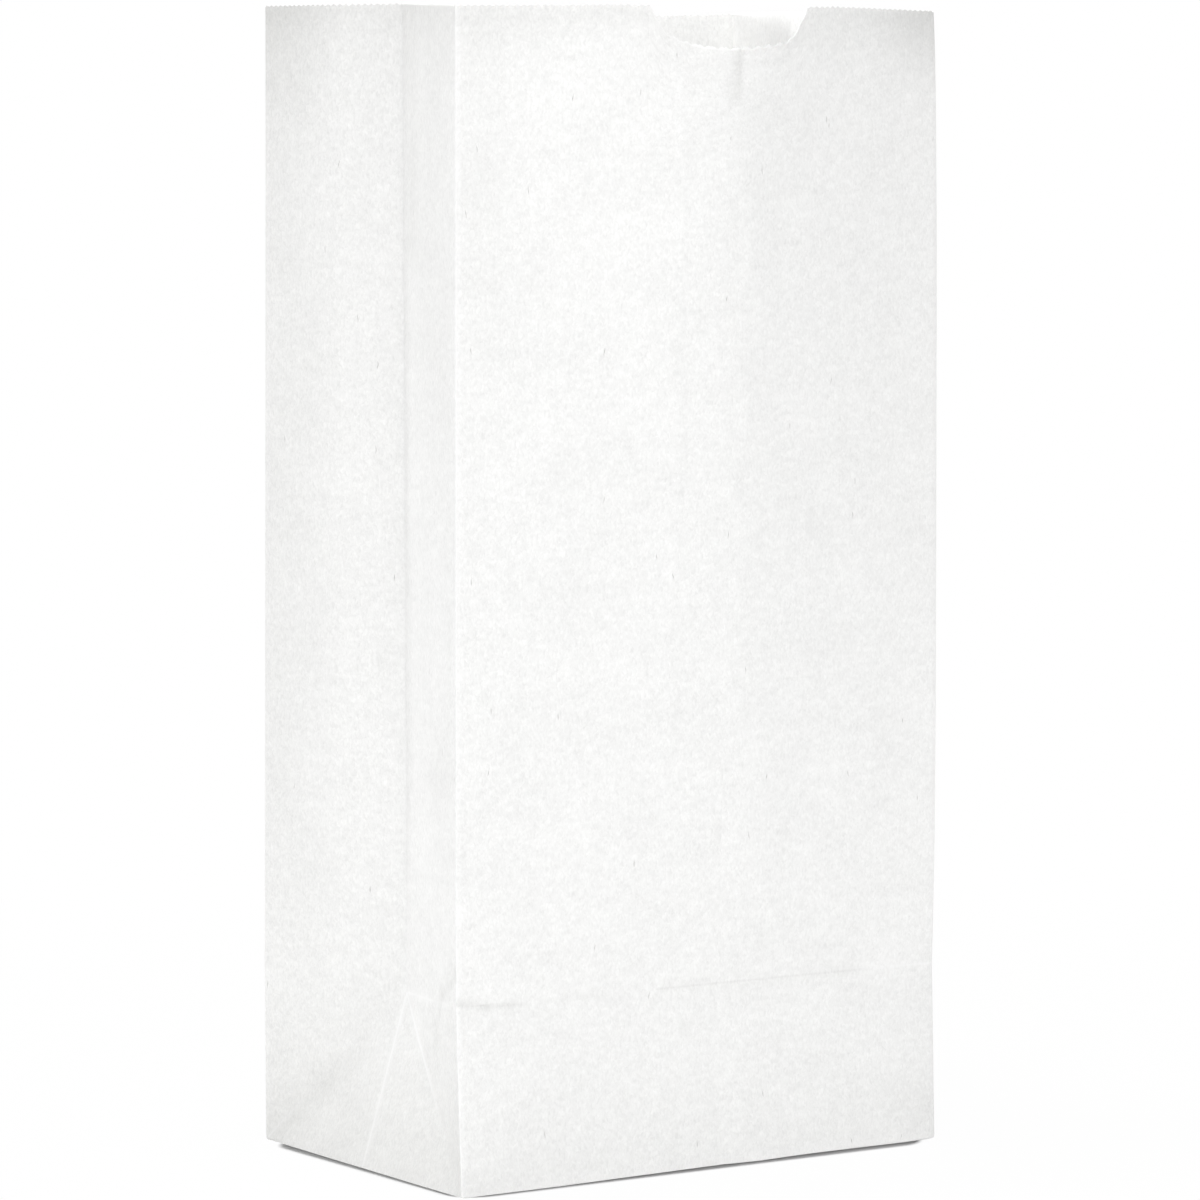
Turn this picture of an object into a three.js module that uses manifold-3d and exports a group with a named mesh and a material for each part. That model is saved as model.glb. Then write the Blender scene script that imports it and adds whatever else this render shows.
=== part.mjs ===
// White paper lunch bag, standing open: one sheet of bleached kraft, lapped into a
// tube, pleated at both sides and closed by a square folded and pasted bottom.
// Millimetres, +Z up. The origin lies under the middle of the base, and the
// notched front panel faces -Y.

import * as THREE from "three";
import { mergeVertices } from "three/addons/utils/BufferGeometryUtils.js";
import Module from "manifold-3d";

// Size of the bag when it is squared up, and of the paper it is made of.
const BAG_WIDTH = 133;
const BAG_DEPTH = 86;
const BAG_HEIGHT = 268;
const PAPER = 0.1;

// How far the middle crease of each side pleat stands in from the side of the bag.
const PLEAT_TUCK = 11.8;

// The mouth of each wide panel stands out in two straight runs, which meet in a soft bend:
// how far out they meet, how soft the bend is, and the steps that draw the panel.
const MOUTH_BOW = 10.4;
const BOW_BEND = 0.27;
const BOW_STEPS = 16;

// Long lap seam: right edge of the outer layer, from the middle of the front, and the lap.
const SEAM_EDGE = 4.4;
const SEAM_LAP = 14;

// The two long bottom flaps lie over each other by this much along the middle of the base.
const BOTTOM_LAP = 20;

// Toothed knife cut round the mouth.
const TOOTH_PITCH = 1.7;
const TOOTH_DEPTH = 0.5;

// Thumb notch in the front panel: slanted sides down to two shoulders, then a shallow arc.
const NOTCH_CENTRE = 3.4;
const NOTCH_WIDTH = 43.8;
const NOTCH_DEPTH = 9.4;
const SHOULDER_WIDTH = 35.4;
const SHOULDER_DEPTH = 6.2;
const SCALLOP_PITCH = 3.3;
const SCALLOP_DEPTH = 0.7;

const PAPER_WHITE = 0xf4f4f2;
const PAPER_ROUGHNESS = 0.92;

const halfWidth = BAG_WIDTH / 2;
const halfDepth = BAG_DEPTH / 2;

// Each half pleat keeps its width, so a tucked crease draws front and back together.
// The pleat's fold point above the base lies on the same triangle, turned upright.
const halfOpen = Math.sqrt(halfDepth ** 2 - PLEAT_TUCK ** 2);
const apexHeight = halfOpen;
// The front panel keeps its length too, from the base up to its cross crease.
const creaseHeight = Math.sqrt(halfDepth ** 2 - (halfDepth - halfOpen) ** 2);

// Six panels, counter-clockwise seen from above, each from one fold to the next.
// bow is how far a panel's mouth stands out along Y, and crest is where along it the bend lies.
// cornerLast says at which end of a half pleat the diagonal fold meets the base.
const panels = [
  { name: "front", length: BAG_WIDTH, bow: -MOUTH_BOW, crest: halfWidth + SEAM_EDGE, cornerLast: false },
  { name: "right pleat, front half", length: halfDepth, bow: 0, cornerLast: false },
  { name: "right pleat, back half", length: halfDepth, bow: 0, cornerLast: true },
  { name: "back", length: BAG_WIDTH, bow: MOUTH_BOW, crest: halfWidth, cornerLast: false },
  { name: "left pleat, back half", length: halfDepth, bow: 0, cornerLast: false },
  { name: "left pleat, front half", length: halfDepth, bow: 0, cornerLast: true },
];

// The six fold points of one level, starting at the front left corner.
function foldPoints({ frontY, backY, tuck, frontZ, pleatZ, backZ }) {
  return [
    new THREE.Vector3(-halfWidth, frontY, frontZ),
    new THREE.Vector3(halfWidth, frontY, frontZ),
    new THREE.Vector3(halfWidth - tuck, 0, pleatZ),
    new THREE.Vector3(halfWidth, backY, backZ),
    new THREE.Vector3(-halfWidth, backY, backZ),
    new THREE.Vector3(-halfWidth + tuck, 0, pleatZ),
  ];
}

// Heights of the three layers that meet at the base: back flap, front flap, side flaps.
const layer = (count) => count * PAPER;
const baseFolds = foldPoints({
  frontY: -halfDepth, backY: halfDepth, tuck: 0,
  frontZ: layer(1), pleatZ: layer(2), backZ: layer(0),
});
const mouthFolds = foldPoints({
  frontY: -halfOpen, backY: halfOpen, tuck: PLEAT_TUCK,
  frontZ: BAG_HEIGHT, pleatZ: BAG_HEIGHT, backZ: BAG_HEIGHT,
});
// Only the front panel is creased across: the back corners run straight from base to mouth.
const creaseFolds = foldPoints({
  frontY: -halfOpen,
  backY: THREE.MathUtils.lerp(halfDepth, halfOpen, creaseHeight / BAG_HEIGHT),
  tuck: PLEAT_TUCK,
  frontZ: creaseHeight, pleatZ: apexHeight, backZ: creaseHeight,
});

// The same fold points moved inwards, square to both walls that meet there.
function insetFolds(folds, distance) {
  const inward = folds.map((point, i) => {
    const next = folds[(i + 1) % folds.length];
    return new THREE.Vector3(point.y - next.y, next.x - point.x, 0).normalize();
  });
  return folds.map((point, i) => {
    const before = inward[(i + folds.length - 1) % folds.length];
    const reach = distance / (1 + before.dot(inward[i]));
    return before.clone().add(inward[i]).multiplyScalar(reach).add(point);
  });
}

// Lap seam, measured along the front panel from its left edge. The inner layer starts
// at seamStart and the outer one ends at seamEnd; each cut edge slants over one thickness.
const seamEnd = halfWidth + SEAM_EDGE;
const seamStart = seamEnd - SEAM_LAP;
const seamStations = [seamStart - PAPER, seamStart, seamEnd, seamEnd + PAPER];

// Height of a ramp that climbs from foot to top, and is flat outside them.
const ramp = (along, foot, top) => THREE.MathUtils.clamp((along - foot) / (top - foot), 0, 1);

// How far the outer face stands proud and the inner face stands in, over the lap.
function seamOutside(along) {
  const climb = ramp(along, seamStart, seamEnd);
  return PAPER * Math.min(climb, ramp(along, seamEnd + PAPER, seamEnd));
}
function seamInside(along) {
  const climb = ramp(along, seamEnd, seamStart);
  return PAPER * Math.min(climb, ramp(along, seamStart - PAPER, seamStart));
}

// Toothed cut from start up to end, as [distance along the panel, drop below the mouth].
// Each stretch starts at a root; the next stretch's first root closes it.
function teeth(start, end, pitch, depth, cutAt) {
  const count = Math.max(1, Math.round((end - start) / pitch));
  const step = (end - start) / count;
  const points = [];
  for (let i = 0; i < count; i++) {
    const root = start + i * step;
    const tip = root + step / 2;
    points.push([root, cutAt(root) + depth], [tip, cutAt(tip)]);
  }
  return points;
}
const mouthTeeth = (start, end) => teeth(start, end, TOOTH_PITCH, TOOTH_DEPTH, () => 0);

// The notch's floor is an arc through both shoulders, with scallops standing up on it.
const notchMiddle = halfWidth + NOTCH_CENTRE;
const shoulderHalf = SHOULDER_WIDTH / 2;
const arcRise = NOTCH_DEPTH - SHOULDER_DEPTH;
const arcRadius = (shoulderHalf ** 2 + arcRise ** 2) / (2 * arcRise);

function notchFloor(along) {
  const sag = arcRadius - Math.sqrt(arcRadius ** 2 - (along - notchMiddle) ** 2);
  return NOTCH_DEPTH - sag - SCALLOP_DEPTH;
}

// The front panel's cut edge, with the seam's stations let into it.
function frontEdge() {
  const left = notchMiddle - NOTCH_WIDTH / 2;
  const right = notchMiddle + NOTCH_WIDTH / 2;
  const leftShoulder = notchMiddle - shoulderHalf;
  const rightShoulder = notchMiddle + shoulderHalf;
  const edge = [
    ...mouthTeeth(0, left),
    [left, TOOTH_DEPTH],
    ...teeth(leftShoulder, rightShoulder, SCALLOP_PITCH, SCALLOP_DEPTH, notchFloor),
    [rightShoulder, SHOULDER_DEPTH],
    ...mouthTeeth(right, BAG_WIDTH),
    [BAG_WIDTH, TOOTH_DEPTH],
  ];
  for (const station of seamStations) {
    const after = edge.findIndex(([along]) => along >= station);
    const [from, dropFrom] = edge[after - 1];
    const [to, dropTo] = edge[after];
    const drop = THREE.MathUtils.mapLinear(station, from, to, dropFrom, dropTo);
    edge.splice(after, to === station ? 1 : 0, [station, drop]);
  }
  return edge;
}

// Stations along one panel: even steps on a panel that bows, more at the seam, and many
// along the cut edge at the mouth.
function foldStations(panel) {
  const steps = panel.bow === 0 ? 1 : BOW_STEPS;
  const even = Array.from({ length: steps + 1 }, (_, i) => (i * panel.length) / steps);
  const seam = panel.name === "front" ? seamStations : [];
  return [...even, ...seam].sort((a, b) => a - b).map((along) => [along, 0]);
}
function mouthStations(panel) {
  if (panel.name === "front") return frontEdge();
  return [...mouthTeeth(0, panel.length), [panel.length, TOOTH_DEPTH]];
}

// How far out the mouth of a bowed panel stands, at a distance along it.
function bowAt(panel, along) {
  if (panel.bow === 0) return 0;
  const climb = along / panel.crest;
  const fall = (panel.length - along) / (panel.length - panel.crest);
  const bend = Math.max(BOW_BEND - Math.abs(climb - fall), 0);
  return panel.bow * (Math.min(climb, fall) - bend ** 2 / (4 * BOW_BEND));
}

// One face of one panel at one level: points in order, each with its distance along.
function chain({ stations, open }, folds, panel, proudAt) {
  const index = panels.indexOf(panel);
  const start = folds[index];
  const end = folds[(index + 1) % folds.length];
  return stations(panel).map(([along, drop]) => {
    const point = start.clone().lerp(end, along / panel.length);
    if (open) point.y += bowAt(panel, along);
    point.z -= drop;
    if (panel.name === "front") point.y -= proudAt(along);
    return { along, point };
  });
}

// Triangles between two chains on the same panel, stepping along whichever is behind.
function bridge(lower, upper, lowerFirst) {
  const corners = [];
  let i = 0;
  let j = 0;
  while (i < lower.length - 1 || j < upper.length - 1) {
    const nextLower = lower[i + 1]?.along ?? Infinity;
    const nextUpper = upper[j + 1]?.along ?? Infinity;
    const stepLower = nextLower < nextUpper || (nextLower === nextUpper && lowerFirst);
    if (stepLower) {
      corners.push(lower[i].point, lower[i + 1].point, upper[j].point);
      i += 1;
    } else {
      corners.push(lower[i].point, upper[j + 1].point, upper[j].point);
      j += 1;
    }
  }
  return corners;
}

const turnedOver = (corners) => corners.map((_, i) => corners[i - (i % 3) + 2 - (i % 3)]);

// The folded sheet above the base: outer face, inner face, toothed rim and foot.
function wallGeometry() {
  const levels = [
    { folds: baseFolds, stations: foldStations, open: false },
    { folds: creaseFolds, stations: foldStations, open: false },
    { folds: mouthFolds, stations: mouthStations, open: true },
  ];
  const corners = [];
  for (const panel of panels) {
    const outer = levels.map((level) => chain(level, level.folds, panel, seamOutside));
    const inner = levels.map((level) => {
      return chain(level, insetFolds(level.folds, PAPER), panel, (along) => -seamInside(along));
    });
    for (const upper of [1, 2]) {
      corners.push(...bridge(outer[upper - 1], outer[upper], panel.cornerLast));
      corners.push(...turnedOver(bridge(inner[upper - 1], inner[upper], panel.cornerLast)));
    }
    corners.push(...bridge(outer.at(-1), inner.at(-1), true));
    corners.push(...turnedOver(bridge(outer[0], inner[0], true)));
  }
  return new THREE.BufferGeometry().setFromPoints(corners);
}

// A layer of the base: a flat outline, raised from one layer height to another.
function baseLayer(outline, fromLayer, toLayer) {
  const shape = new THREE.Shape(outline.map(([x, y]) => new THREE.Vector2(x, y)));
  const depth = layer(toLayer) - layer(fromLayer);
  const geometry = new THREE.ExtrudeGeometry(shape, { depth, bevelEnabled: false });
  return geometry.translate(0, 0, layer(fromLayer));
}

// The pasted bottom. The side flaps lie inside, with the front flap and then the back
// flap folded over them. The long flaps end in mitres, where their corners are tucked under.
function baseLayers() {
  const x = halfWidth - PAPER / 2;
  const y = halfDepth - PAPER / 2;
  const reach = (BAG_DEPTH + BOTTOM_LAP) / 2;
  const longFlap = (edgeY, towards) => [
    [-x, edgeY], [x, edgeY],
    [x - reach, edgeY + towards * reach], [-x + reach, edgeY + towards * reach],
  ];
  const sideFlap = (edgeX, towards) => [
    [edgeX, -y], [edgeX + towards * reach, -y], [edgeX + towards * reach, y], [edgeX, y],
  ];
  const whole = [[-x, -y], [x, -y], [x, y], [-x, y]];
  return [
    baseLayer(longFlap(y, -1), 0, 3),
    baseLayer(longFlap(-y, 1), 1, 3),
    baseLayer(whole, 2, 3),
    baseLayer(sideFlap(-x, 1), 2, 4),
    baseLayer(sideFlap(x, -1), 2, 4),
  ];
}

const wasm = await Module();
wasm.setup();

// A closed solid from a geometry, with its shared corners joined.
function toSolid(geometry) {
  geometry.deleteAttribute("normal");
  geometry.deleteAttribute("uv");
  const joined = mergeVertices(geometry);
  const vertProperties = joined.getAttribute("position").array;
  const triVerts = Uint32Array.from(joined.index.array);
  return new wasm.Manifold(new wasm.Mesh({ numProp: 3, vertProperties, triVerts }));
}

function paperBag() {
  const sheet = baseLayers().map(toSolid).reduce((bag, flap) => bag.add(flap), toSolid(wallGeometry()));
  const { vertProperties, triVerts } = sheet.getMesh();
  const geometry = new THREE.BufferGeometry();
  geometry.setAttribute("position", new THREE.BufferAttribute(vertProperties, 3));
  geometry.setIndex(new THREE.BufferAttribute(triVerts, 1));
  geometry.computeVertexNormals();
  const material = new THREE.MeshStandardMaterial({
    color: PAPER_WHITE, roughness: PAPER_ROUGHNESS, metalness: 0,
  });
  const mesh = new THREE.Mesh(geometry, material);
  mesh.name = "paper_bag";
  return mesh;
}

const bag = new THREE.Group();
bag.add(paperBag());

export default bag;
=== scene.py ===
"""Looks of a white paper lunch bag: one folded sheet, its paper, the light and the camera."""

import math
from collections import namedtuple

import bpy
import numpy as np
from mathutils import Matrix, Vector, noise


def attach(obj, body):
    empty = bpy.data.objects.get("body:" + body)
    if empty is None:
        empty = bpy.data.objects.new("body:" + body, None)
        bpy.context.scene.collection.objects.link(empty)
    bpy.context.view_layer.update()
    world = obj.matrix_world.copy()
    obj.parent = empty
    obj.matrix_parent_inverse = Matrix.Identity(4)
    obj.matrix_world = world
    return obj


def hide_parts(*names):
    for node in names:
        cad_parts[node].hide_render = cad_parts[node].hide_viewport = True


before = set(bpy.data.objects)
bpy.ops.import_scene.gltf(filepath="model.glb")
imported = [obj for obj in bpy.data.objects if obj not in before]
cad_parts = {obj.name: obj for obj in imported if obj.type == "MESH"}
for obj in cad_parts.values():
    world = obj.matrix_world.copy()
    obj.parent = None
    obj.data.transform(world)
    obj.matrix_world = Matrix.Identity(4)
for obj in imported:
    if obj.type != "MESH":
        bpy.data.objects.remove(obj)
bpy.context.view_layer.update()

# Sizes of the bag in millimetres, as in the CAD part
WIDTH = 133.0
DEPTH = 86.0
HEIGHT = 268.0
TUCK = 11.8
SEAM_EDGE = 4.4
SEAM_LAP = 14.0
THICKNESS = 0.085
# Metres in a millimetre
MM = 0.001

# The grid of the flat sheet: square cells where folds cross, and even steps in between
CELLS_PER_HALF = 25
FLAP_CELLS = 31
RIGHT_STEPS = 13
BACK_STEPS = 15
LEFT_STEPS = 10
LOWER_STEPS = 17
UPPER_STEPS = 73
EDGE_ROW = 1.2
# Half the width of a scored fold
SCORE = 0.45

HALF_W = WIDTH / 2
HALF_D = DEPTH / 2
CELL = HALF_D / CELLS_PER_HALF
FLAP = FLAP_CELLS * CELL
MOUTH_Y = math.sqrt(HALF_D**2 - TUCK**2)
# The pleat's fold point rises as far as the mouth opens, because each panel keeps its flat size
APEX_Z = MOUTH_Y
# Points of the flat sheet above this lie on the cut edge of the mouth
AT_MOUTH = HEIGHT - 0.01

# Where the vertical folds lie along the flat sheet, counted from the front left fold
FOLD_FR = WIDTH
FOLD_GR = FOLD_FR + HALF_D
FOLD_BR = FOLD_GR + HALF_D
FOLD_BL = FOLD_BR + WIDTH
FOLD_GL = FOLD_BL + HALF_D
FOLD_FL = FOLD_GL + HALF_D
SHEET_START = HALF_W + SEAM_EDGE - SEAM_LAP
SHEET_END = FOLD_FL + HALF_W + SEAM_EDGE


def smooth(t):
    """Soft step from 0 to 1."""
    t = np.clip(t, 0.0, 1.0)
    return t * t * (3 - 2 * t)


def even(start, end, steps):
    """Even steps from start to end, as a list of their ends."""
    return list(np.linspace(start, end, steps + 1))


def front_panel(s):
    """Which points lie on the front panel, and all places with the front counted from its left."""
    return (s < FOLD_FR) | (s >= FOLD_FL), np.where(s >= FOLD_FL, s - FOLD_FL, s)


def sheet_lines():
    """Grid lines of the flat sheet, along its length and up its height."""
    near = [k * CELL for k in range(FLAP_CELLS + 1)]
    far = [WIDTH - d for d in reversed(near)]
    inner = [k * CELL for k in range(1, 2 * CELLS_PER_HALF)]
    right = even(SHEET_START, far[0], RIGHT_STEPS)[:-1] + far
    back = near + even(near[-1], far[0], BACK_STEPS)[1:-1] + far
    left = near + even(near[-1], HALF_W + SEAM_EDGE, LEFT_STEPS)[1:]
    along = right + [FOLD_FR + d for d in inner] + [FOLD_BR + d for d in back]
    along += [FOLD_BL + d for d in inner] + [FOLD_FL + d for d in left]
    up = [-d for d in reversed(near)] + [k * CELL for k in range(1, CELLS_PER_HALF + 1)]
    up += even(HALF_D, DEPTH, LOWER_STEPS)[1:] + even(DEPTH, HEIGHT, UPPER_STEPS)[1:]
    up.insert(-1, HEIGHT - EDGE_ROW)
    return np.array(along), np.array(up)


# Folds as lines on the flat sheet. white is how white the fold shows, partly as fibres that stand
# up and partly as a painted highlight, in even steps from its start to its end, and lift how far it
# stands proud of the panels, in millimetres.
Fold = namedtuple("Fold", "start end white lift")
FOLDS = [
    Fold((FOLD_FR, -FLAP), (FOLD_FR, HEIGHT), (0.7,), 0.03),
    Fold((FOLD_BR, -FLAP), (FOLD_BR, HEIGHT), (0.7, 0.7, 0.7, 0.5, 0.0), 0.03),
    Fold((FOLD_BL, -FLAP), (FOLD_BL, HEIGHT), (0.3,), 0.03),
    Fold((FOLD_FL, -FLAP), (FOLD_FL, HEIGHT), (0.6, 0.6, 0.5, 0.3, 0.35, 0.55, 0.6, 0.6), 0.03),
    Fold((FOLD_GR, HALF_D), (FOLD_GR, HEIGHT), (0.2,), -0.01),
    Fold((FOLD_GL, HALF_D), (FOLD_GL, HEIGHT), (0.2,), -0.01),
    Fold((FOLD_GR, 0), (FOLD_GR, HALF_D), (1.0,), 0.14),
    Fold((FOLD_GL, 0), (FOLD_GL, HALF_D), (1.0,), 0.14),
    Fold((SHEET_START, 0), (SHEET_END, 0), (0.5,), 0.0),
    Fold((SHEET_START, HALF_D), (FOLD_FR, HALF_D), (0.0, 0.0, 0.0, 0.6), -0.03),
    Fold((FOLD_FL, HALF_D), (SHEET_END, HALF_D), (0.0,), -0.03),
    Fold((FOLD_FR, HALF_D), (FOLD_GR, HALF_D), (0.3,), -0.06),
    Fold((FOLD_GL, HALF_D), (FOLD_FL, HALF_D), (0.8, 0.5, 0.0), -0.06),
    Fold((FOLD_GR, HALF_D), (FOLD_FR, 0), (1.0, 0.9, 0.0, 0.0), 0.10),
    Fold((FOLD_GL, HALF_D), (FOLD_FL, 0), (1.0, 0.9, 0.0, 0.0), 0.10),
]
# The far diagonals of the pleats are scored too, but bend less sharply
SOFT_FOLDS = [
    Fold((FOLD_GR, HALF_D), (FOLD_BR, 0), (0.0, 0.0, 0.0, 1.0), 0.0),
    Fold((FOLD_GL, HALF_D), (FOLD_BL, 0), (0.0, 0.0, 0.0, 1.0), 0.0),
]
# The tucks of the bottom flaps are pressed flat, so they are cut as edges and not scored
TUCK_FOLDS = [
    Fold((FOLD_FR, 0), (FOLD_FR - FLAP, -FLAP), (0.0,), 0),
    Fold((FOLD_FL, 0), (FOLD_FL + FLAP, -FLAP), (0.0,), 0),
    Fold((FOLD_BR, 0), (FOLD_BR + FLAP, -FLAP), (0.0,), 0),
    Fold((FOLD_BL, 0), (FOLD_BL - FLAP, -FLAP), (0.0,), 0),
]

# Painted shade, with real dents in a few: marks on the sheet in millimetres, with the front panel
# counted from its left fold, the back one from 219 to 352 and the left pleat from there to 438.
# grey is how much painted shade darkens the paper there, and dent how deep the mark is, in
# millimetres.
Mark = namedtuple("Mark", "start end width grey dent")
SHADE_AND_DENT_MARKS = [
    # Cross crease of the front panel, pressed in unevenly, with painted shade along its groove
    Mark((0, 43.5), (9, 42.8), 0.5, 0.60, 0.12),
    Mark((9, 42.8), (17, 42.5), 0.5, 0.30, 0.06),
    Mark((14, 42.6), (16, 42.4), 1.5, 0.15, 0.05),
    Mark((30, 43), (40, 43), 0.8, 0.15, 0.05),
    Mark((54, 43), (112, 43), 0.35, 0.40, 0.06),
    # Buckle of the near pleat half beside the front fold: a dent with painted shade along and below
    # it
    Mark((437, 50.5), (424, 44.5), 1.5, 0.30, 0.5),
    Mark((424, 44.5), (419, 33), 2.2, 0.15, 0.2),
    Mark((420, 94), (437, 96), 7.0, 0.15, 0.0),
    # Painted shade of a soft valley in the far pleat half
    Mark((383, 27), (371, 17), 3.0, 0.10, 0.0),
    # Painted shade darkening the mouth: both outer corners, then the left pleat's crease, cut edge
    # and near half
    Mark((352, 268), (353, 268), 21.0, 0.60, 0.0),
    Mark((133, 268), (132, 268), 17.0, 0.38, 0.0),
    Mark((403, 268), (404, 215), 6.0, 0.26, 0.0),
    Mark((353, 268), (437, 268), 5.0, 0.25, 0.0),
    Mark((402, 264), (434, 264), 14.0, 0.15, 0.0),
    Mark((418, 268), (418, 190), 16.0, 0.15, 0.0),
    # Painted shade along the front panel's mouth on both sides of the thumb notch, and down its
    # left fold
    Mark((1, 268), (47, 268), 7.0, 0.34, 0.0),
    Mark((6, 268), (6, 195), 8.0, 0.12, 0.0),
    Mark((92, 268), (132, 268), 8.0, 0.33, 0.0),
    # Painted shade on the back panel's mouth beside its right fold, seen through the notch
    Mark((219, 264), (229, 262), 8.0, 0.16, 0.0),
    Mark((219, 268), (219, 250), 1.2, 0.40, 0.0),
    # Painted shade darkening the foot and the lower pleat, and short creases at its lower left
    # corner
    Mark((0, 0), (133, 0), 14.0, 0.19, 0.0),
    Mark((352, 0), (438, 0), 20.0, 0.24, 0.0),
    Mark((392, 0), (430, 0), 24.0, 0.14, 0.0),
    Mark((352, 4), (438, 4), 45.0, 0.48, 0.0),
    Mark((371, 17), (356, 3), 5.0, 0.15, 0.0),
    Mark((352.5, 0.5), (363, 7.5), 1.0, 0.22, 0.0),
    # Painted shade darkening the pleat's far fold all the way up
    Mark((352, 70), (352, 268), 20.0, 0.16, 0.0),
    Mark((358, 70), (358, 268), 30.0, 0.12, 0.0),
    # Painted shadow along the seam's lifted edge under the thumb notch, with a small dent
    Mark((70.8, 267), (70.2, 252), 1.5, 0.45, 0.1),
]


def beside(line, s, v):
    """How far along a line points lie, as a share of it, and how far away from it."""
    (s0, v0), (s1, v1) = line.start, line.end
    ds, dv = s1 - s0, v1 - v0
    share = np.clip(((s - s0) * ds + (v - v0) * dv) / (ds * ds + dv * dv), 0, 1)
    return share, np.hypot(s - s0 - share * ds, v - v0 - share * dv)


def on_fold(fold, s, v, reach=0.02):
    """Which points of the flat sheet lie on a fold."""
    return beside(fold, s, v)[1] < reach


def flat_points(mesh):
    """The mesh's points as an array."""
    points = np.empty(len(mesh.vertices) * 3)
    mesh.vertices.foreach_get("co", points)
    return points.reshape(-1, 3)


def edge_ends(mesh):
    """The two end points of each edge, as indices."""
    ends = np.empty(len(mesh.edges) * 2, int)
    mesh.edges.foreach_get("vertices", ends)
    return ends.reshape(-1, 2)


def choose(sheet, points=None, edges=None):
    """Selects points or edges, given as flags, and goes into edit mode."""
    mesh = sheet.data
    for items, flags in ((mesh.vertices, points), (mesh.edges, edges), (mesh.polygons, None)):
        items.foreach_set("select", [False] * len(items) if flags is None else flags)
    bpy.ops.object.mode_set(mode="EDIT")
    bpy.ops.mesh.select_mode(type="VERT" if edges is None else "EDGE")


def cut_sheet():
    """The flat sheet, with creases scored along every fold and a finely cut top edge."""
    along, up = sheet_lines()
    bpy.ops.object.select_all(action="DESELECT")
    bpy.ops.mesh.primitive_grid_add(
        x_subdivisions=len(along) - 1, y_subdivisions=len(up) - 1, size=2, calc_uvs=False
    )
    sheet = bpy.context.object
    sheet.name = sheet.data.name = "folded_paper_bag"
    mesh = sheet.data
    points = flat_points(mesh)
    column = np.rint((points[:, 0] + 1) / 2 * (len(along) - 1)).astype(int)
    row = np.rint((points[:, 1] + 1) / 2 * (len(up) - 1)).astype(int)
    points[:, 0] = along[column]
    points[:, 1] = up[row]
    mesh.vertices.foreach_set("co", points.ravel())

    # Diagonal folds run through the corners of the cells
    for fold in FOLDS + SOFT_FOLDS + TUCK_FOLDS:
        if fold.start[0] != fold.end[0] and fold.start[1] != fold.end[1]:
            points = flat_points(mesh)
            choose(sheet, points=on_fold(fold, points[:, 0], points[:, 1]))
            bpy.ops.mesh.vert_connect()
            bpy.ops.object.mode_set(mode="OBJECT")

    # Each fold is scored: three close lines, so that it can bend round a small radius
    points, ends = flat_points(mesh), edge_ends(mesh)
    scored = np.zeros(len(ends), bool)
    for fold in FOLDS + SOFT_FOLDS:
        on = on_fold(fold, points[:, 0], points[:, 1])
        scored |= on[ends[:, 0]] & on[ends[:, 1]]
    choose(sheet, edges=scored)
    bpy.ops.mesh.bevel(
        offset=SCORE, offset_type="OFFSET", segments=2, profile=0.5, affect="EDGES"
    )
    bpy.ops.object.mode_set(mode="OBJECT")

    # The mouth is cut with teeth, so its edge has four short steps in each cell
    points, ends = flat_points(mesh), edge_ends(mesh)
    choose(sheet, edges=(points[ends, 1] > AT_MOUTH).all(axis=1))
    bpy.ops.mesh.subdivide(number_cuts=3)
    bpy.ops.object.mode_set(mode="OBJECT")
    return sheet


# The layers of the pasted bottom and its two long folds, as heights above the floor
LEVEL = {"back": 0.02, "back tuck": 0.11, "front": 0.20, "front tuck": 0.29, "side": 0.38}
FRONT_EDGE = 0.25
BACK_EDGE = 0.2
# How far the base folds stand off the floor, from the left end of each to its right end, and how
# fast that fades towards the middle of the base
FRONT_LIFT = (
    (0, 0.0), (0.2, 0.05), (0.4, 0.35), (0.52, 0.6), (0.62, 0.3), (0.73, 0.6), (0.83, 0.55),
    (0.94, 0.5), (1, 0.7),
)
BACK_LIFT = ((0, 0.8), (1, 0.5))
LIFT_FADE = 8
# The walls stand this much higher than the flat sheet would, on the bulge of the bottom
STAND = 1.0
# How flat the bow of a fold is along its middle
BOW_FLATNESS = 4


def lift_at(x, y):
    """Height of the base edge off the floor, which fades towards the middle of the base."""
    fx = np.clip((x + HALF_W) / WIDTH, 0, 1)
    fy = np.clip((y + HALF_D) / DEPTH, 0, 1)
    front = np.interp(fx, *zip(*FRONT_LIFT))
    back = np.interp(fx, *zip(*BACK_LIFT))
    rim = np.maximum(np.abs(x) / HALF_W, np.abs(y) / HALF_D)
    return (front * (1 - fy) + back * fy**2) * np.clip(rim, 0, 1) ** LIFT_FADE


def base_corner(x, y, level):
    """Where a vertical fold starts on the base."""
    return (x, y, float(lift_at(np.array(x), np.array(y))) + level)


def fold_line(base, crease, mouth, bow=(0, 0, 0)):
    """A vertical fold as a function of height up the sheet, bowed between crease and mouth."""
    base, crease, mouth, bow = (np.array(p, float) for p in (base, crease, mouth, bow))

    def line(v):
        v = np.asarray(v, float)[:, None]
        lower = base + (crease - base) * (v / HALF_D)
        rise = (v - HALF_D) / (HEIGHT - HALF_D)
        bowed = bow * (1 - np.abs(2 * np.clip(rise, 0, 1) - 1) ** BOW_FLATNESS)
        upper = crease + (mouth - crease) * rise + bowed
        return np.where(v < HALF_D, lower, upper)

    return line


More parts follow.
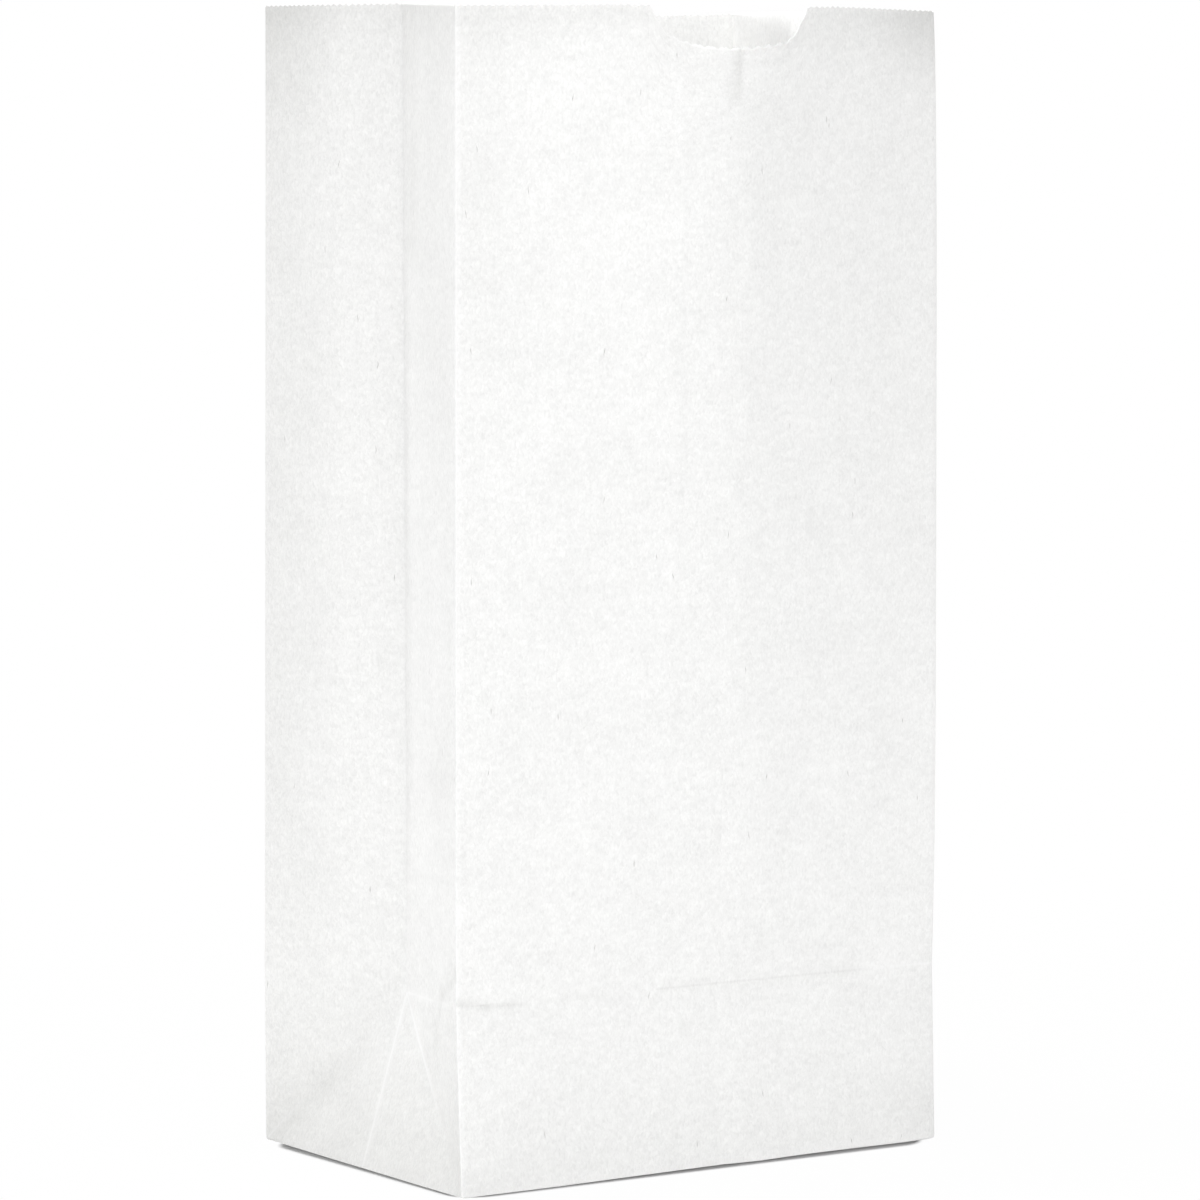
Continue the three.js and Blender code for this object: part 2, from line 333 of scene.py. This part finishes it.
# The six vertical folds of the open bag, which aren't quite upright or straight
MOUTH_Z = HEIGHT + STAND
BACK_CREASE_Y = HALF_D + (MOUTH_Y - HALF_D) * HALF_D / HEIGHT
LINE_FL = fold_line(
    base_corner(-HALF_W, -HALF_D, FRONT_EDGE),
    (-HALF_W - 0.3, -MOUTH_Y, 42.7 + STAND),
    (-HALF_W, -MOUTH_Y, MOUTH_Z),
)
LINE_FR = fold_line(
    base_corner(HALF_W + 0.5, -HALF_D, FRONT_EDGE),
    (HALF_W + 0.75, -MOUTH_Y, 41.9 + STAND),
    (HALF_W, -MOUTH_Y, MOUTH_Z),
    bow=(0.3, -0.9, 0),
)
LINE_BR = fold_line(
    base_corner(HALF_W, HALF_D, BACK_EDGE),
    (HALF_W, BACK_CREASE_Y, HALF_D + STAND),
    (HALF_W, MOUTH_Y, MOUTH_Z),
    bow=(0.3, 0.4, 0),
)
LINE_BL = fold_line(
    base_corner(-HALF_W - 0.65, HALF_D, BACK_EDGE),
    (-HALF_W - 1.0, BACK_CREASE_Y, HALF_D + STAND),
    (-HALF_W - 0.3, MOUTH_Y, MOUTH_Z),
    bow=(0.3, 0.4, 0),
)
LINE_GR = fold_line(
    base_corner(HALF_W, 0, LEVEL["side"]),
    (HALF_W - TUCK, 0, APEX_Z + STAND),
    (HALF_W - TUCK, 0, MOUTH_Z),
)
LINE_GL = fold_line(
    base_corner(-HALF_W, 0, LEVEL["side"]),
    (TUCK - HALF_W + 0.6, 0, APEX_Z - 1.5 + STAND),
    (TUCK - HALF_W, 0, MOUTH_Z),
)


def ridge(t, crest, soft):
    """A soft-topped tent from 0 at both ends of a panel to about 1 at its crest."""
    left = t / crest
    right = (1 - t) / (1 - crest)
    return -soft * np.log(np.exp(-left / soft) + np.exp(-right / soft) + np.exp(-1 / soft))


def pleat_wall(a, v, corner, centre):
    """A pleat half: flat above the crease, two triangles below it; a is 0 at the outer corner."""
    zero = np.zeros(1)
    top = np.full(1, HALF_D)
    foot, apex = corner(zero)[0], centre(top)[0]
    middle, knee = centre(zero)[0], corner(top)[0]
    a = a[:, None]
    f = np.clip(v, None, HALF_D)[:, None] / HALF_D
    inner = foot + (a - f) * (middle - foot) + f * (apex - foot)
    outer = foot + (f - a) * (knee - foot) + a * (apex - foot)
    lower = np.where(a >= f, inner, outer)
    upper = (1 - a) * corner(v) + a * centre(v)
    return np.where(v[:, None] < HALF_D, lower, upper)


def on_base(panel, c, t):
    """Where a point of a bottom flap lies, c along the panel and t in from the base fold."""
    if panel == "front":
        left = (c < t) & (c < HALF_W)
        right = (WIDTH - c < t) & (c >= HALF_W)
        x = np.where(left, t - HALF_W, np.where(right, HALF_W - t, c - HALF_W))
        y = np.where(left, c - HALF_D, np.where(right, WIDTH - c - HALF_D, t - HALF_D))
        z = np.where(left | right, LEVEL["front tuck"], LEVEL["front"])
    elif panel == "back":
        first = (c < t) & (c < HALF_W)
        last = (WIDTH - c < t) & (c >= HALF_W)
        x = np.where(first, HALF_W - t, np.where(last, t - HALF_W, HALF_W - c))
        y = np.where(first, HALF_D - c, np.where(last, HALF_D - WIDTH + c, HALF_D - t))
        z = np.where(first | last, LEVEL["back tuck"], LEVEL["back"])
    elif panel == "right":
        x, y, z = HALF_W - t, c - HALF_D, np.full_like(c, LEVEL["side"])
    else:
        x, y, z = t - HALF_W, HALF_D - c, np.full_like(c, LEVEL["side"])
    return np.stack([x, y, z + lift_at(x, y)], axis=1)


# How far the open panels bow outwards: the wide ones at the mouth, and the pleat halves. A crest is
# the place of the highest line across the panel, and soft how rounded it is.
MOUTH_SWELL = 10.4
FRONT_CREST, FRONT_SOFT = (HALF_W + SEAM_EDGE) / WIDTH, 0.035
BACK_CREST, BACK_SOFT = 0.5, 0.12
PLEAT_CREST, PLEAT_SOFT = 0.53, 0.06
FAR_RIDGE = 2.8
NEAR_RIDGE = 0.7
# The pleat halves reach their full bow at this share of the way up
PLEAT_RISE = 1 / 4
# The seam's inner layer lies this far inside the outer one, fades out past it, and is pressed
# flatter in the bottom
LAP_STEP = 0.16
LAP_FADE = 4
LAP_PRESSED = 0.8
# Folds are averaged over a disc, which reaches a little past the mouth
PAST_MOUTH = 1.05

# A pleat half from its start along the sheet, turned where its outer corner is at its end. offset
# is its start along the side's bottom flap, and swell its bow along X.
PleatHalf = namedtuple("PleatHalf", "start corner centre turned side offset swell")
PLEAT_HALVES = [
    PleatHalf(FOLD_FR, LINE_FR, LINE_GR, False, "right", 0, NEAR_RIDGE),
    PleatHalf(FOLD_GR, LINE_BR, LINE_GR, True, "right", HALF_D, NEAR_RIDGE),
    PleatHalf(FOLD_BL, LINE_BL, LINE_GL, False, "left", 0, -FAR_RIDGE),
    PleatHalf(FOLD_GL, LINE_FL, LINE_GL, True, "left", HALF_D, -NEAR_RIDGE),
]


def folded(s, v):
    """Where a point of the flat sheet lies once the bag is folded and stands open."""
    out = np.zeros((len(s), 3))
    rise = np.clip((v - HALF_D) / (HEIGHT - HALF_D), 0, PAST_MOUTH)
    wall = v >= 0

    front, x = front_panel(s)
    past_seam = (x - HALF_W - SEAM_EDGE) / LAP_FADE
    under = np.where(s >= FOLD_FL, 0.0, LAP_STEP * (1 - smooth(past_seam)))
    m = front & wall
    a = (x / WIDTH)[m][:, None]
    out[m] = (1 - a) * LINE_FL(v[m]) + a * LINE_FR(v[m])
    swell = MOUTH_SWELL * rise[m] * ridge(x[m] / WIDTH, FRONT_CREST, FRONT_SOFT)
    out[m, 1] += under[m] - swell
    m = front & ~wall
    out[m] = on_base("front", x[m], -v[m])
    out[m, 2] += LAP_PRESSED * under[m]

    back = (s >= FOLD_BR) & (s < FOLD_BL)
    c = s - FOLD_BR
    m = back & wall
    a = (c / WIDTH)[m][:, None]
    out[m] = (1 - a) * LINE_BR(v[m]) + a * LINE_BL(v[m])
    out[m, 1] += MOUTH_SWELL * rise[m] * ridge(a[:, 0], BACK_CREST, BACK_SOFT)
    m = back & ~wall
    out[m] = on_base("back", c[m], -v[m])

    for half in PLEAT_HALVES:
        here = (s >= half.start) & (s < half.start + HALF_D)
        m = here & wall
        a = (s[m] - half.start) / HALF_D
        a = 1 - a if half.turned else a
        out[m] = pleat_wall(a, v[m], half.corner, half.centre)
        bow = half.swell * smooth(rise[m] / PLEAT_RISE)
        out[m, 0] += bow * ridge(a, PLEAT_CREST, PLEAT_SOFT)
        m = here & ~wall
        out[m] = on_base(half.side, s[m] - half.start + half.offset, -v[m])
    return out


def fold_round(s, v, radius):
    """The folded place averaged over a small disc of the sheet, which rounds each fold."""
    total = folded(s, v)
    turns = [(0.5, k * math.pi / 3) for k in range(6)]
    turns += [(1, (k + 0.5) * math.pi / 3) for k in range(6)]
    for reach, angle in turns:
        along, up = radius * reach * math.cos(angle), radius * reach * math.sin(angle)
        total += folded(s + along, v + up)
    return total / (len(turns) + 1)


# Teeth of the mouth, and the wider scallops of the thumb notch, whose cut edge shows white
TOOTH_PITCH = 1.7
TOOTH_DEPTH = 0.45
SCALLOP_PITCH = 3.3
SCALLOP_DEPTH = 0.7
NOTCH_WHITE = 0.6
# The scallops start where the notch is this deep, and the sheet's rows close up towards the cut
# edge from this height on
NOTCH_START = 0.4
MOUTH_ZONE = 236
# The thumb notch as depth below the mouth, along the front panel
NOTCH = (
    (47.9, 0.0), (48.8, 1.5), (50.4, 4.5), (51.9, 6.0), (54.3, 7.1), (57.2, 8.0), (60.4, 8.7),
    (64.0, 9.1), (69.0, 9.3), (74.0, 9.0), (80.2, 8.4), (85.4, 7.6), (87.2, 6.1), (88.9, 4.2),
    (90.2, 2.0), (91.4, 0.0),
)
# The cut mouth isn't quite level: how far it lies below its full height, along the sheet
MOUTH_FRONT = ((0, -0.3), (40, -0.6), (60, -0.2), (85, 0.0), (100, -0.3), (WIDTH, 0.65))
MOUTH_REST = (
    (FOLD_FR, 0.65), (FOLD_BR, 1.1), (FOLD_BR + 45, 2.1), (FOLD_BR + 90, 1.9), (FOLD_BL, -0.5),
    (FOLD_GL, -0.9), (FOLD_FL, -0.3),
)


def notch_depth(s):
    """Depth of the thumb notch along the sheet."""
    front, x = front_panel(s)
    return np.where(front, np.interp(x, *zip(*NOTCH)), 0)


def mouth_drop(s, v):
    """How far points near the mouth move down to its toothed edge and its thumb notch."""
    front, x = front_panel(s)
    notch = notch_depth(s)
    low = np.where(front, np.interp(x, *zip(*MOUTH_FRONT)), np.interp(s, *zip(*MOUTH_REST)))
    tooth = TOOTH_DEPTH * np.abs(2 * ((s / TOOTH_PITCH) % 1.0) - 1)
    scallop = SCALLOP_DEPTH * np.abs(np.sin(np.pi * s / SCALLOP_PITCH))
    cut = notch + np.where(notch > NOTCH_START, scallop, tooth)
    top = (v - MOUTH_ZONE) / (HEIGHT - MOUTH_ZONE)
    return np.where(v > AT_MOUTH, cut, notch) * np.clip(top, 0, 1) + low * smooth(top)


# A point this near to a fold is on its middle line. Its two outer lines, within the wider reach,
# are whitened less.
FOLD_MIDDLE = 0.12
FOLD_REACH = 0.55
OUTER_WHITE = 0.35


def fibre_white_highlight_and_lift(s, v):
    """How white the folds show, as standing fibres and painted highlight, and how far they stand
    proud.
    """
    white, lift = np.zeros(len(s)), np.zeros(len(s))
    for fold in FOLDS + SOFT_FOLDS:
        share, gap = beside(fold, s, v)
        on = gap < FOLD_MIDDLE
        risen = np.where(on, 1.0, OUTER_WHITE * (gap < FOLD_REACH))
        steps = np.linspace(0, 1, len(fold.white))
        white = np.maximum(white, risen * np.interp(share, steps, fold.white))
        lift = np.where(on, fold.lift, lift)
    return white, lift


def painted_shade_and_dents(s, v):
    """How much painted shade the marks lay on the paper, and how deep their dents are."""
    x = front_panel(s)[1]
    grey, dent = np.zeros(len(s)), np.zeros(len(s))
    for mark in SHADE_AND_DENT_MARKS:
        mark_weight = np.exp(-((beside(mark, x, v)[1] / mark.width) ** 2))
        grey += mark.grey * mark_weight
        dent += mark.dent * mark_weight
    return np.clip(grey, 0, 1), dent


def outward(s):
    """The way that each panel faces on the open bag."""
    way = np.zeros((len(s), 3))
    way[front_panel(s)[0], 1] = -1
    way[(s >= FOLD_BR) & (s < FOLD_BL), 1] = 1
    way[(s >= FOLD_FR) & (s < FOLD_BR), 0] = 1
    way[(s >= FOLD_BL) & (s < FOLD_FL), 0] = -1
    return way


# Cockle is how far paper waves between its folds. Each wave has its share, its size along the sheet
# and up it, and its place in the noise; it is calm near the folds, the foot and the cross crease.
COCKLE = 0.35
COCKLE_WAVES = ((1.0, 34, 70, 3.1), (0.4, 15, 28, 8.4))
CALM_FOLD = 10
CALM_FOOT = 12
CALM_CREASE = 8


def cockle(s, v):
    """Waves of the paper, which is never quite flat between its folds."""
    folds_at = np.array([FOLD_FR, FOLD_GR, FOLD_BR, FOLD_BL, FOLD_GL, FOLD_FL])
    gap = np.min(np.abs(s[:, None] - folds_at), axis=1)
    calm = smooth(gap / CALM_FOLD) * smooth(v / CALM_FOOT)
    calm = calm * smooth(np.abs(v - HALF_D) / CALM_CREASE)
    waves = np.array([
        sum(share * noise.noise((a / along, b / up, at)) for share, along, up, at in COCKLE_WAVES)
        for a, b in zip(front_panel(s)[1], v)
    ])
    return COCKLE * waves * calm


# Folds bend round a small radius; away from the sharp ones the sheet curves more gently
FOLD_RADIUS = 0.5
PANEL_RADIUS = 3.0
RADIUS_REACH = 8
# The mouth's front right corner curls back: how far, its reach along the sheet and down it, and
# the way it goes
CURL = 3.0
CURL_ALONG = 26
CURL_DOWN = 17
CURL_WAY = (0.554, 0.8325, 0.0)
# Paste ends just past the seam's edge
PASTE_END = HALF_W + SEAM_EDGE + 0.1


def shape_sheet(sheet):
    """Folds the flat sheet into the open bag and keeps its flat coordinates, its painted highlights
    and shade, and its pasted parts as data.
    """
    mesh = sheet.data
    flat = flat_points(mesh)
    s, v = flat[:, 0], flat[:, 1]

    # Folds show white as standing fibres and as a painted highlight
    white, lift = fibre_white_highlight_and_lift(s, v)
    cut_edge = (v > AT_MOUTH) & (notch_depth(s) > NOTCH_START)
    white = np.maximum(white, NOTCH_WHITE * cut_edge)
    # Painted shade from the marks, and their dents
    grey, dent = painted_shade_and_dents(s, v)
    front, x = front_panel(s)
    lap = front & (x > SHEET_START) & (x < PASTE_END)
    pasted = (lap | (v < 0)).astype(float)
    for name, value in (("fibre_white_and_highlight", white), ("painted_shade_amount", grey), ("pasted", pasted)):
        mesh.attributes.new(name, "FLOAT", "POINT").data.foreach_set("value", value)

    uv = mesh.uv_layers.new(name="flat_sheet")
    corner = np.empty(len(mesh.loops), int)
    mesh.loops.foreach_get("vertex_index", corner)
    uv.data.foreach_set("uv", (flat[corner, :2] * MM).ravel())

    apart = np.min([beside(fold, s, v)[1] for fold in FOLDS], axis=0)
    radius = FOLD_RADIUS + (PANEL_RADIUS - FOLD_RADIUS) * smooth(apart / RADIUS_REACH)
    place = fold_round(s, v - mouth_drop(s, v), radius)
    place += outward(s) * (cockle(s, v) + np.where(v > 0, lift - dent, 0))[:, None]
    away = np.hypot((s - FOLD_FR) / CURL_ALONG, (HEIGHT - v) / CURL_DOWN)
    place += np.outer(CURL * np.clip(1 - away, 0, 1) ** 2, CURL_WAY)
    mesh.vertices.foreach_set("co", (place * MM).ravel())
    mesh.update()


# Edges that bend more than this, in degrees, are shaded sharp
SHARP_ANGLE = 50


def finish_sheet(sheet):
    """Gives the paper its thickness and smooth shading."""
    bpy.ops.object.select_all(action="DESELECT")
    sheet.select_set(True)
    bpy.context.view_layer.objects.active = sheet
    wall = sheet.modifiers.new("paper thickness", "SOLIDIFY")
    wall.thickness = THICKNESS * MM
    wall.offset = -1
    bpy.ops.object.modifier_apply(modifier=wall.name)
    bpy.ops.object.shade_smooth_by_angle(angle=math.radians(SHARP_ANGLE))


def linear(hex_colour):
    """Linear colour from an sRGB hex value."""
    parts = [int(hex_colour[k : k + 2], 16) / 255 for k in (1, 3, 5)]
    return [c / 12.92 if c <= 0.04045 else ((c + 0.055) / 1.055) ** 2.4 for c in parts] + [1.0]


def add(tree, kind, inputs=(), **settings):
    """Adds a node with its settings; inputs are (socket, value or output) pairs."""
    node = tree.nodes.new(kind)
    for name, value in settings.items():
        setattr(node, name, value)
    for socket, value in inputs:
        if isinstance(value, bpy.types.NodeSocket):
            tree.links.new(value, node.inputs[socket])
        else:
            node.inputs[socket].default_value = value
    return node


# Sizes in the paper's pattern, in metres: clouds, flocs of fibres, single fibres, drawn coarser
# than they are so that they show, and the spacing and bend of the dark hairs
CLOUD = 0.014
FLOC = 0.003
FIBRE = 0.00065
HAIR_CELL = 0.0065
HAIR_WANDER = 0.002
HAIR_BEND = 0.0009
HAIR_SLANTS = (-14, 38, 97)


def bleached_kraft():
    """Bleached kraft paper, machine finished: a soft matt white that looks cloudy where the
    fibres lie in flocs, with fine upright fibre streaks, a few dark hairs, and light through the
    thin sheet. The folds are whiter, partly as a painted highlight, and painted shade darkens the
    marks."""
    paper = bpy.data.materials.new("bleached kraft paper, machine finished")
    paper.use_nodes = True
    tree = paper.node_tree
    tree.nodes.clear()
    flat = add(tree, "ShaderNodeUVMap", uv_map="flat_sheet").outputs["UV"]

    # Clouds and flocs with the felt of single fibres over them, which runs a little upright
    clouds = add(
        tree, "ShaderNodeTexNoise",
        [("Vector", flat), ("Scale", 1 / CLOUD), ("Detail", 2.0), ("Roughness", 0.5)],
    )
    flocs = add(
        tree, "ShaderNodeTexNoise",
        [("Vector", flat), ("Scale", 1 / FLOC), ("Detail", 2.0), ("Roughness", 0.6)],
    )
    upright = add(tree, "ShaderNodeMapping", [("Vector", flat), ("Scale", (1.0, 0.6, 1.0))])
    felt = add(
        tree, "ShaderNodeTexNoise",
        [("Vector", upright.outputs["Vector"]), ("Scale", 1 / FIBRE), ("Detail", 2.0),
         ("Roughness", 0.65), ("Distortion", 0.8)],
    )
    soft = add(
        tree, "ShaderNodeMix",
        [("Factor", 0.62), ("A", clouds.outputs["Fac"]), ("B", flocs.outputs["Fac"])],
    )
    fibre = add(
        tree, "ShaderNodeMix",
        [("Factor", 0.6), ("A", soft.outputs["Result"]), ("B", felt.outputs["Fac"])],
    )
    shade = add(
        tree, "ShaderNodeMapRange",
        [("Value", fibre.outputs["Result"]), ("From Min", 0.315), ("From Max", 0.665)],
    )
    tone = add(
        tree, "ShaderNodeMix",
        [("Factor", shade.outputs["Result"]), ("A", linear("#E8E8E7")), ("B", linear("#FDFDFC"))],
        data_type="RGBA",
    )

    # A few dark hairs, 1 to 2 mm long and bent, in three slants
    wander = add(
        tree, "ShaderNodeTexNoise", [("Vector", flat), ("Scale", 1 / HAIR_WANDER), ("Detail", 0.0)]
    )
    bent = add(
        tree, "ShaderNodeVectorMath",
        [(0, wander.outputs["Color"]), (1, (HAIR_BEND, HAIR_BEND, 0.0)), (2, flat)],
        operation="MULTIPLY_ADD",
    )
    haired = tone
    for slant in HAIR_SLANTS:
        lean = add(
            tree, "ShaderNodeMapping",
            [("Vector", bent.outputs["Vector"]), ("Rotation", (0, 0, math.radians(slant))),
             ("Scale", (1.0, 0.13, 1.0))],
        )
        specks = add(
            tree, "ShaderNodeTexVoronoi",
            [("Vector", lean.outputs["Vector"]), ("Scale", 1 / HAIR_CELL)],
            voronoi_dimensions="2D",
        )
        hair = add(
            tree, "ShaderNodeMapRange",
            [("Value", specks.outputs["Distance"]), ("From Min", 0.006), ("From Max", 0.022),
             ("To Min", 1), ("To Max", 0)],
        )
        chance = add(tree, "ShaderNodeSeparateColor", [("Color", specks.outputs["Color"])])
        rare = add(
            tree, "ShaderNodeMath",
            [(0, chance.outputs["Red"]), (1, 0.88)], operation="GREATER_THAN",
        )
        dark = add(
            tree, "ShaderNodeMath",
            [(0, hair.outputs["Result"]), (1, rare.outputs["Value"])], operation="MULTIPLY",
        )
        haired = add(
            tree, "ShaderNodeMix",
            [("Factor", dark.outputs["Value"]), ("A", haired.outputs["Result"]),
             ("B", linear("#C6C5C3"))],
            data_type="RGBA",
        )

    # Along the folds the paper is whiter: partly fibres that stand up, partly a painted highlight
    white = add(tree, "ShaderNodeAttribute", attribute_name="fibre_white_and_highlight")
    with_fold_highlight = add(
        tree, "ShaderNodeMix",
        [("Factor", white.outputs["Fac"]), ("A", haired.outputs["Result"]),
         ("B", linear("#FFFFFF"))],
        data_type="RGBA",
    )
    # Painted shade: the paper is darkened where the marks lie, and the pattern still shows in it
    painted_shade_node = add(tree, "ShaderNodeAttribute", attribute_name="painted_shade_amount")
    with_painted_shade = add(
        tree, "ShaderNodeMix",
        [("Factor", painted_shade_node.outputs["Fac"]), ("A", with_fold_highlight.outputs["Result"]),
         ("B", linear("#E3E3E2"))],
        data_type="RGBA", blend_type="MULTIPLY",
    )
    bump = add(
        tree, "ShaderNodeBump",
        [("Strength", 0.6), ("Distance", 0.00005), ("Height", felt.outputs["Fac"])],
    )
    # A single layer lets some light through, and pasted layers half as much
    pasted = add(tree, "ShaderNodeAttribute", attribute_name="pasted")
    through = add(
        tree, "ShaderNodeMapRange",
        [("Value", pasted.outputs["Fac"]), ("To Min", 0.14), ("To Max", 0.07)],
    )
    surface = add(
        tree, "ShaderNodeBsdfPrincipled",
        [("Base Color", with_painted_shade.outputs["Result"]), ("Roughness", 0.85), ("IOR", 1.45),
         ("Specular IOR Level", 0.3), ("Normal", bump.outputs["Normal"]),
         ("Subsurface Weight", through.outputs["Result"]),
         ("Subsurface Radius", (1.0, 1.0, 1.0)), ("Subsurface Scale", 0.0008)],
    )
    add(tree, "ShaderNodeOutputMaterial", [("Surface", surface.outputs["BSDF"])])
    return paper


def looked_at(tree):
    """1 for what the camera sees, also in gloss and through glass, and 0 for light on the bag."""
    path = add(tree, "ShaderNodeLightPath")
    direct = add(
        tree, "ShaderNodeMath",
        [(0, path.outputs["Is Camera Ray"]), (1, path.outputs["Is Glossy Ray"])],
        operation="MAXIMUM",
    )
    seen = add(
        tree, "ShaderNodeMath",
        [(0, direct.outputs["Value"]), (1, path.outputs["Is Transmission Ray"])],
        operation="MAXIMUM",
    )
    return seen.outputs["Value"]


# The ground's contact shadow, in metres: the round of the footprint's corners, how far inside its
# edge the ground turns white, and the distance over which the last of the shadow fades
FOOT_ROUND = 0.009
FOOT_INSIDE = 0.0004
SHADOW_FADE = 0.4
# From this share of that distance on, the ground is nearly white
WHITE_FROM = 0.002
NEARLY_WHITE = (0.985, 0.985, 0.985, 1)


def white_ground():
    """Matt white studio board: it shows white, and dark only in the bag's contact shadow."""
    ground = bpy.data.materials.new("matt white studio board")
    ground.use_nodes = True
    tree = ground.node_tree
    tree.nodes.clear()
    board = add(tree, "ShaderNodeBsdfDiffuse", [("Color", linear("#F0F0F0"))])
    bright = add(tree, "ShaderNodeEmission", [("Color", linear("#FFFFFF")), ("Strength", 1.0)])
    place = add(tree, "ShaderNodeTexCoord").outputs["Object"]
    # Distance past the bag's footprint, whose corners are rounded
    side = add(tree, "ShaderNodeVectorMath", [(0, place)], operation="ABSOLUTE")
    straight = (HALF_W * MM - FOOT_ROUND, HALF_D * MM - FOOT_ROUND, 0.0)
    past = add(
        tree, "ShaderNodeVectorMath",
        [(0, side.outputs["Vector"]), (1, straight)], operation="SUBTRACT",
    )
    out = add(
        tree, "ShaderNodeVectorMath",
        [(0, past.outputs["Vector"]), (1, (0, 0, 0))], operation="MAXIMUM",
    )
    apart = add(tree, "ShaderNodeVectorMath", [(0, out.outputs["Vector"])], operation="LENGTH")
    reach = add(
        tree, "ShaderNodeMapRange",
        [("Value", apart.outputs["Value"]), ("From Min", FOOT_ROUND - FOOT_INSIDE),
         ("From Max", FOOT_ROUND + SHADOW_FADE)],
    )
    open_ground = add(tree, "ShaderNodeValToRGB", [("Fac", reach.outputs["Result"])])
    ramp = open_ground.color_ramp.elements
    ramp[0].color = (0, 0, 0, 1)
    ramp.new(WHITE_FROM).color = NEARLY_WHITE
    ramp[-1].color = (1, 1, 1, 1)
    share = add(
        tree, "ShaderNodeMath",
        [(0, looked_at(tree)), (1, open_ground.outputs["Color"])], operation="MULTIPLY",
    )
    mixed = add(
        tree, "ShaderNodeMixShader",
        [(0, share.outputs["Value"]), (1, board.outputs["BSDF"]), (2, bright.outputs["Emission"])],
    )
    add(tree, "ShaderNodeOutputMaterial", [("Surface", mixed.outputs["Shader"])])
    return ground


# The lamps face this point inside the bag, in metres
LAMP_AIM = (0, 0, 0.12)


def softbox(name, turn, rise, distance, watts, width, height):
    """A soft lamp facing the bag, turned from its front and raised, in degrees."""
    turn, rise = math.radians(turn), math.radians(rise)
    level = math.cos(rise)
    away = Vector((math.sin(turn) * level, -math.cos(turn) * level, math.sin(rise)))
    bpy.ops.object.light_add(type="AREA", location=Vector(LAMP_AIM) + distance * away)
    lamp = bpy.context.object
    lamp.name = name
    lamp.data.shape = "RECTANGLE"
    lamp.data.size = width
    lamp.data.size_y = height
    lamp.data.energy = watts
    lamp.visible_camera = False
    lamp.rotation_mode = "QUATERNION"
    lamp.rotation_quaternion = (-away).to_track_quat("-Z", "Y")


def studio():
    """White ground, a dim white room, and softboxes at the front left, rear left and above."""
    bpy.ops.object.select_all(action="DESELECT")
    bpy.ops.mesh.primitive_plane_add(size=8)
    floor = bpy.context.object
    floor.name = "studio_floor"
    floor.data.materials.append(white_ground())

    world = bpy.data.worlds.new("soft box room")
    bpy.context.scene.world = world
    world.use_nodes = True
    tree = world.node_tree
    tree.nodes.clear()
    room = add(tree, "ShaderNodeBackground", [("Color", linear("#FFFFFF")), ("Strength", 0.32)])
    wall = add(tree, "ShaderNodeBackground", [("Color", linear("#FFFFFF")), ("Strength", 1.0)])
    mixed = add(
        tree, "ShaderNodeMixShader",
        [(0, looked_at(tree)), (1, room.outputs["Background"]), (2, wall.outputs["Background"])],
    )
    add(tree, "ShaderNodeOutputWorld", [("Surface", mixed.outputs["Shader"])])

    softbox("key softbox, front left", -32, 8, 3.0, 68, 3.0, 1.0)
    softbox("softbox, rear left", -156, 3, 3.0, 41, 1.2, 0.5)
    softbox("softbox over the mouth", -115, 83.5, 0.5, 1.85, 0.07, 0.07)


def camera():
    """Camera at the height of the mouth, off to the front left, with a long lens."""
    bpy.ops.object.camera_add(location=(-0.80253, -1.20557, 0.26157))
    view = bpy.context.object
    view.data.sensor_width = 36
    view.data.lens = 184.756
    view.data.clip_start = 0.05
    view.data.clip_end = 50
    turn, pitch = math.radians(-33.643), math.radians(5.201)
    level = math.cos(pitch)
    look = Vector((-math.sin(turn) * level, math.cos(turn) * level, -math.sin(pitch)))
    view.rotation_mode = "QUATERNION"
    view.rotation_quaternion = look.to_track_quat("-Z", "Y")
    bpy.context.scene.camera = view


camera()
bag = cut_sheet()
shape_sheet(bag)
finish_sheet(bag)
bag.data.materials.append(bleached_kraft())
studio()

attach(bag, "root")
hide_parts("paper_bag")

bpy.context.scene.view_settings.view_transform = "Standard"
